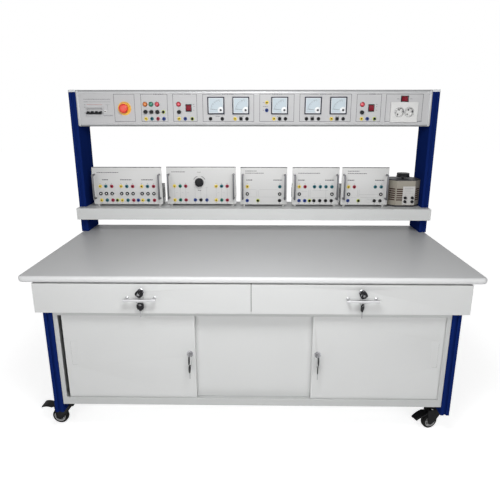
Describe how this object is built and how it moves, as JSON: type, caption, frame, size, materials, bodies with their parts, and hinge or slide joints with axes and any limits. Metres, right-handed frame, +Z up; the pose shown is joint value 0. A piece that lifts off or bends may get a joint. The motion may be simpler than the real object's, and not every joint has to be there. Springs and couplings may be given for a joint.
{
  "type": "electrician training workbench",
  "caption": "Training workbench on castors: worktop with drawers and sliding doors below, a shelf of test modules and a power console on posts above.",
  "frame": {"origin": "on the floor, midway between the worktop's ends and midway between its back edge and the keys that stand out in front", "axes": "+X along the bench towards its right end as its user faces it, +Y from the user towards the console, +Z up"},
  "size_m": [1.6168, 0.778, 1.272],
  "materials": {
    "laminate": "satin laminate",
    "grey_paint": "satin",
    "door_paint": "grey melamine-faced board",
    "blue_profile": "blue powder coat",
    "silver_console": "satin silver",
    "panel": "matt grey",
    "module": "matt grey front over a dark grey case",
    "black_plastic": "matt",
    "black_steel": "satin black",
    "wheel": "matt",
    "bright": "bright anodised",
    "red": "gloss",
    "white": "gloss",
    "beige": "matt"
  },
  "bodies": {
    "bench": {"worktop": "laminate", "drawer_housing": "grey_paint", "cabinet_shell": "grey_paint", "cabinet_middle_panel": "door_paint", "leg_front_left": "blue_profile", "leg_front_right": "blue_profile", "leg_rear_left": "blue_profile", "leg_rear_right": "blue_profile", "post_left": "blue_profile", "post_right": "blue_profile", "shelf": "grey_paint", "console_housing": "silver_console", "console_face": "panel", "outlet_pair": "white", "panel_meter_one": "black_plastic", "panel_meter_two": "black_plastic", "panel_meter_three": "black_plastic", "panel_meter_four": "black_plastic", "panel_meter_five": "black_plastic", "module_three_output": "module", "module_selector": "module", "module_single": "module", "module_multi_tap": "module", "module_double": "module", "transformer_body": "beige"},
    "drawer_left": {"drawer_left": "door_paint", "handle_drawer_left": "bright"},
    "drawer_key_left": {"key_drawer_left": "black_plastic"},
    "drawer_right": {"drawer_right": "door_paint", "handle_drawer_right": "bright"},
    "drawer_key_right": {"key_drawer_right": "black_plastic"},
    "door_left": {"sliding_door_left": "door_paint"},
    "door_key_left": {"key_sliding_door_left": "black_plastic"},
    "door_right": {"sliding_door_right": "door_paint"},
    "door_key_right": {"key_sliding_door_right": "black_plastic"},
    "castor_front_left": {"castor_fork_front_left": "black_steel"},
    "wheel_front_left": {"castor_wheel_front_left": "wheel"},
    "brake_front_left": {"brake_pedal_front_left": "black_plastic"},
    "castor_front_right": {"castor_fork_front_right": "black_steel"},
    "wheel_front_right": {"castor_wheel_front_right": "wheel"},
    "brake_front_right": {"brake_pedal_front_right": "black_plastic"},
    "castor_rear_left": {"castor_fork_rear_left": "black_steel"},
    "wheel_rear_left": {"castor_wheel_rear_left": "wheel"},
    "castor_rear_right": {"castor_fork_rear_right": "black_steel"},
    "wheel_rear_right": {"castor_wheel_rear_right": "wheel"},
    "estop": {"emergency_stop_button": "red"},
    "breaker": {"breaker_lever": "black_plastic"},
    "rocker_single_phase": {"rocker_single_phase": "red"},
    "rocker_supply": {"rocker_supply": "red"},
    "rocker_outlets": {"rocker_outlets": "red"},
    "selector_knob": {"selector_knob": "black_plastic"},
    "transformer_knob": {"transformer_knob": "black_plastic"}
  },
  "joints": [
    {"name": "drawer_slide_left", "type": "slide", "parent": "bench", "child": "drawer_left", "axis": [0, -1, 0], "range_m": [0, 0.35]},
    {"name": "drawer_key_turn_left", "type": "hinge", "parent": "drawer_left", "child": "drawer_key_left", "pos_m": [-0.379, -0.356, 0.586], "axis": [0, 1, 0], "range_deg": [-38, 52]},
    {"name": "drawer_slide_right", "type": "slide", "parent": "bench", "child": "drawer_right", "axis": [0, -1, 0], "range_m": [0, 0.35]},
    {"name": "drawer_key_turn_right", "type": "hinge", "parent": "drawer_right", "child": "drawer_key_right", "pos_m": [0.379, -0.356, 0.586], "axis": [0, 1, 0], "range_deg": [-60, 30]},
    {"name": "door_slide_left", "type": "slide", "parent": "bench", "child": "door_left", "axis": [1, 0, 0], "range_m": [-0.018, 0.4]},
    {"name": "door_key_turn_left", "type": "hinge", "parent": "door_left", "child": "door_key_left", "pos_m": [-0.221, -0.331, 0.337], "axis": [0, 1, 0], "range_deg": [0, 90]},
    {"name": "door_slide_right", "type": "slide", "parent": "bench", "child": "door_right", "axis": [1, 0, 0], "range_m": [-0.4, 0]},
    {"name": "door_key_turn_right", "type": "hinge", "parent": "door_right", "child": "door_key_right", "pos_m": [0.239, -0.331, 0.337], "axis": [0, 1, 0], "range_deg": [-90, 0]},
    {"name": "castor_swivel_front_left", "type": "hinge", "parent": "bench", "child": "castor_front_left", "pos_m": [-0.717, -0.271, 0.0925], "axis": [0, 0, 1], "continuous": true},
    {"name": "wheel_spin_front_left", "type": "hinge", "parent": "castor_front_left", "child": "wheel_front_left", "pos_m": [-0.74892, -0.26877, 0.031], "axis": [-0.0698, -0.9976, 0], "continuous": true},
    {"name": "brake_pedal_front_left", "type": "hinge", "parent": "castor_front_left", "child": "brake_front_left", "pos_m": [-0.76089, -0.26793, 0.0735], "axis": [0.0698, 0.9976, 0], "range_deg": [-27, 0]},
    {"name": "castor_swivel_front_right", "type": "hinge", "parent": "bench", "child": "castor_front_right", "pos_m": [0.717, -0.271, 0.0925], "axis": [0, 0, 1], "continuous": true},
    {"name": "wheel_spin_front_right", "type": "hinge", "parent": "castor_front_right", "child": "wheel_front_right", "pos_m": [0.68624, -0.27982, 0.031], "axis": [0.2756, -0.9613, 0], "continuous": true},
    {"name": "brake_pedal_front_right", "type": "hinge", "parent": "castor_front_right", "child": "brake_front_right", "pos_m": [0.6747, -0.28313, 0.0735], "axis": [-0.2756, 0.9613, 0], "range_deg": [0, 27]},
    {"name": "castor_swivel_rear_left", "type": "hinge", "parent": "bench", "child": "castor_rear_left", "pos_m": [-0.717, 0.299, 0.0925], "axis": [0, 0, 1], "continuous": true},
    {"name": "wheel_spin_rear_left", "type": "hinge", "parent": "castor_rear_left", "child": "wheel_rear_left", "pos_m": [-0.70872, 0.32991, 0.031], "axis": [-0.9659, 0.2588, 0], "continuous": true},
    {"name": "castor_swivel_rear_right", "type": "hinge", "parent": "bench", "child": "castor_rear_right", "pos_m": [0.717, 0.299, 0.0925], "axis": [0, 0, 1], "continuous": true},
    {"name": "wheel_spin_rear_right", "type": "hinge", "parent": "castor_rear_right", "child": "wheel_rear_right", "pos_m": [0.70198, 0.32725, 0.031], "axis": [-0.8829, -0.4695, 0], "continuous": true},
    {"name": "emergency_stop_press", "type": "slide", "parent": "bench", "child": "estop", "axis": [0, 1, 0], "range_m": [0, 0.005]},
    {"name": "breaker_lever_turn", "type": "hinge", "parent": "bench", "child": "breaker", "pos_m": [-0.69016, 0.2475, 1.1845], "axis": [-1, 0, 0], "range_deg": [0, 80]},
    {"name": "rocker_single_phase_tilt", "type": "hinge", "parent": "bench", "child": "rocker_single_phase", "pos_m": [-0.27975, 0.2475, 1.1965], "axis": [1, 0, 0], "range_deg": [0, 16]},
    {"name": "rocker_supply_tilt", "type": "hinge", "parent": "bench", "child": "rocker_supply", "pos_m": [0.50945, 0.2475, 1.1965], "axis": [1, 0, 0], "range_deg": [0, 16]},
    {"name": "rocker_outlets_tilt", "type": "hinge", "parent": "bench", "child": "rocker_outlets", "pos_m": [0.65024, 0.2475, 1.234], "axis": [0, 0, 1], "range_deg": [-16, 0]},
    {"name": "selector_knob_turn", "type": "hinge", "parent": "bench", "child": "selector_knob", "pos_m": [-0.24581, 0.2707, 0.8695], "axis": [0, -1, 0], "range_deg": [-150, 150]},
    {"name": "transformer_knob_turn", "type": "hinge", "parent": "bench", "child": "transformer_knob", "pos_m": [0.69375, 0.32, 0.8836], "axis": [0, 0, -1], "range_deg": [0, 320]}
  ]
}
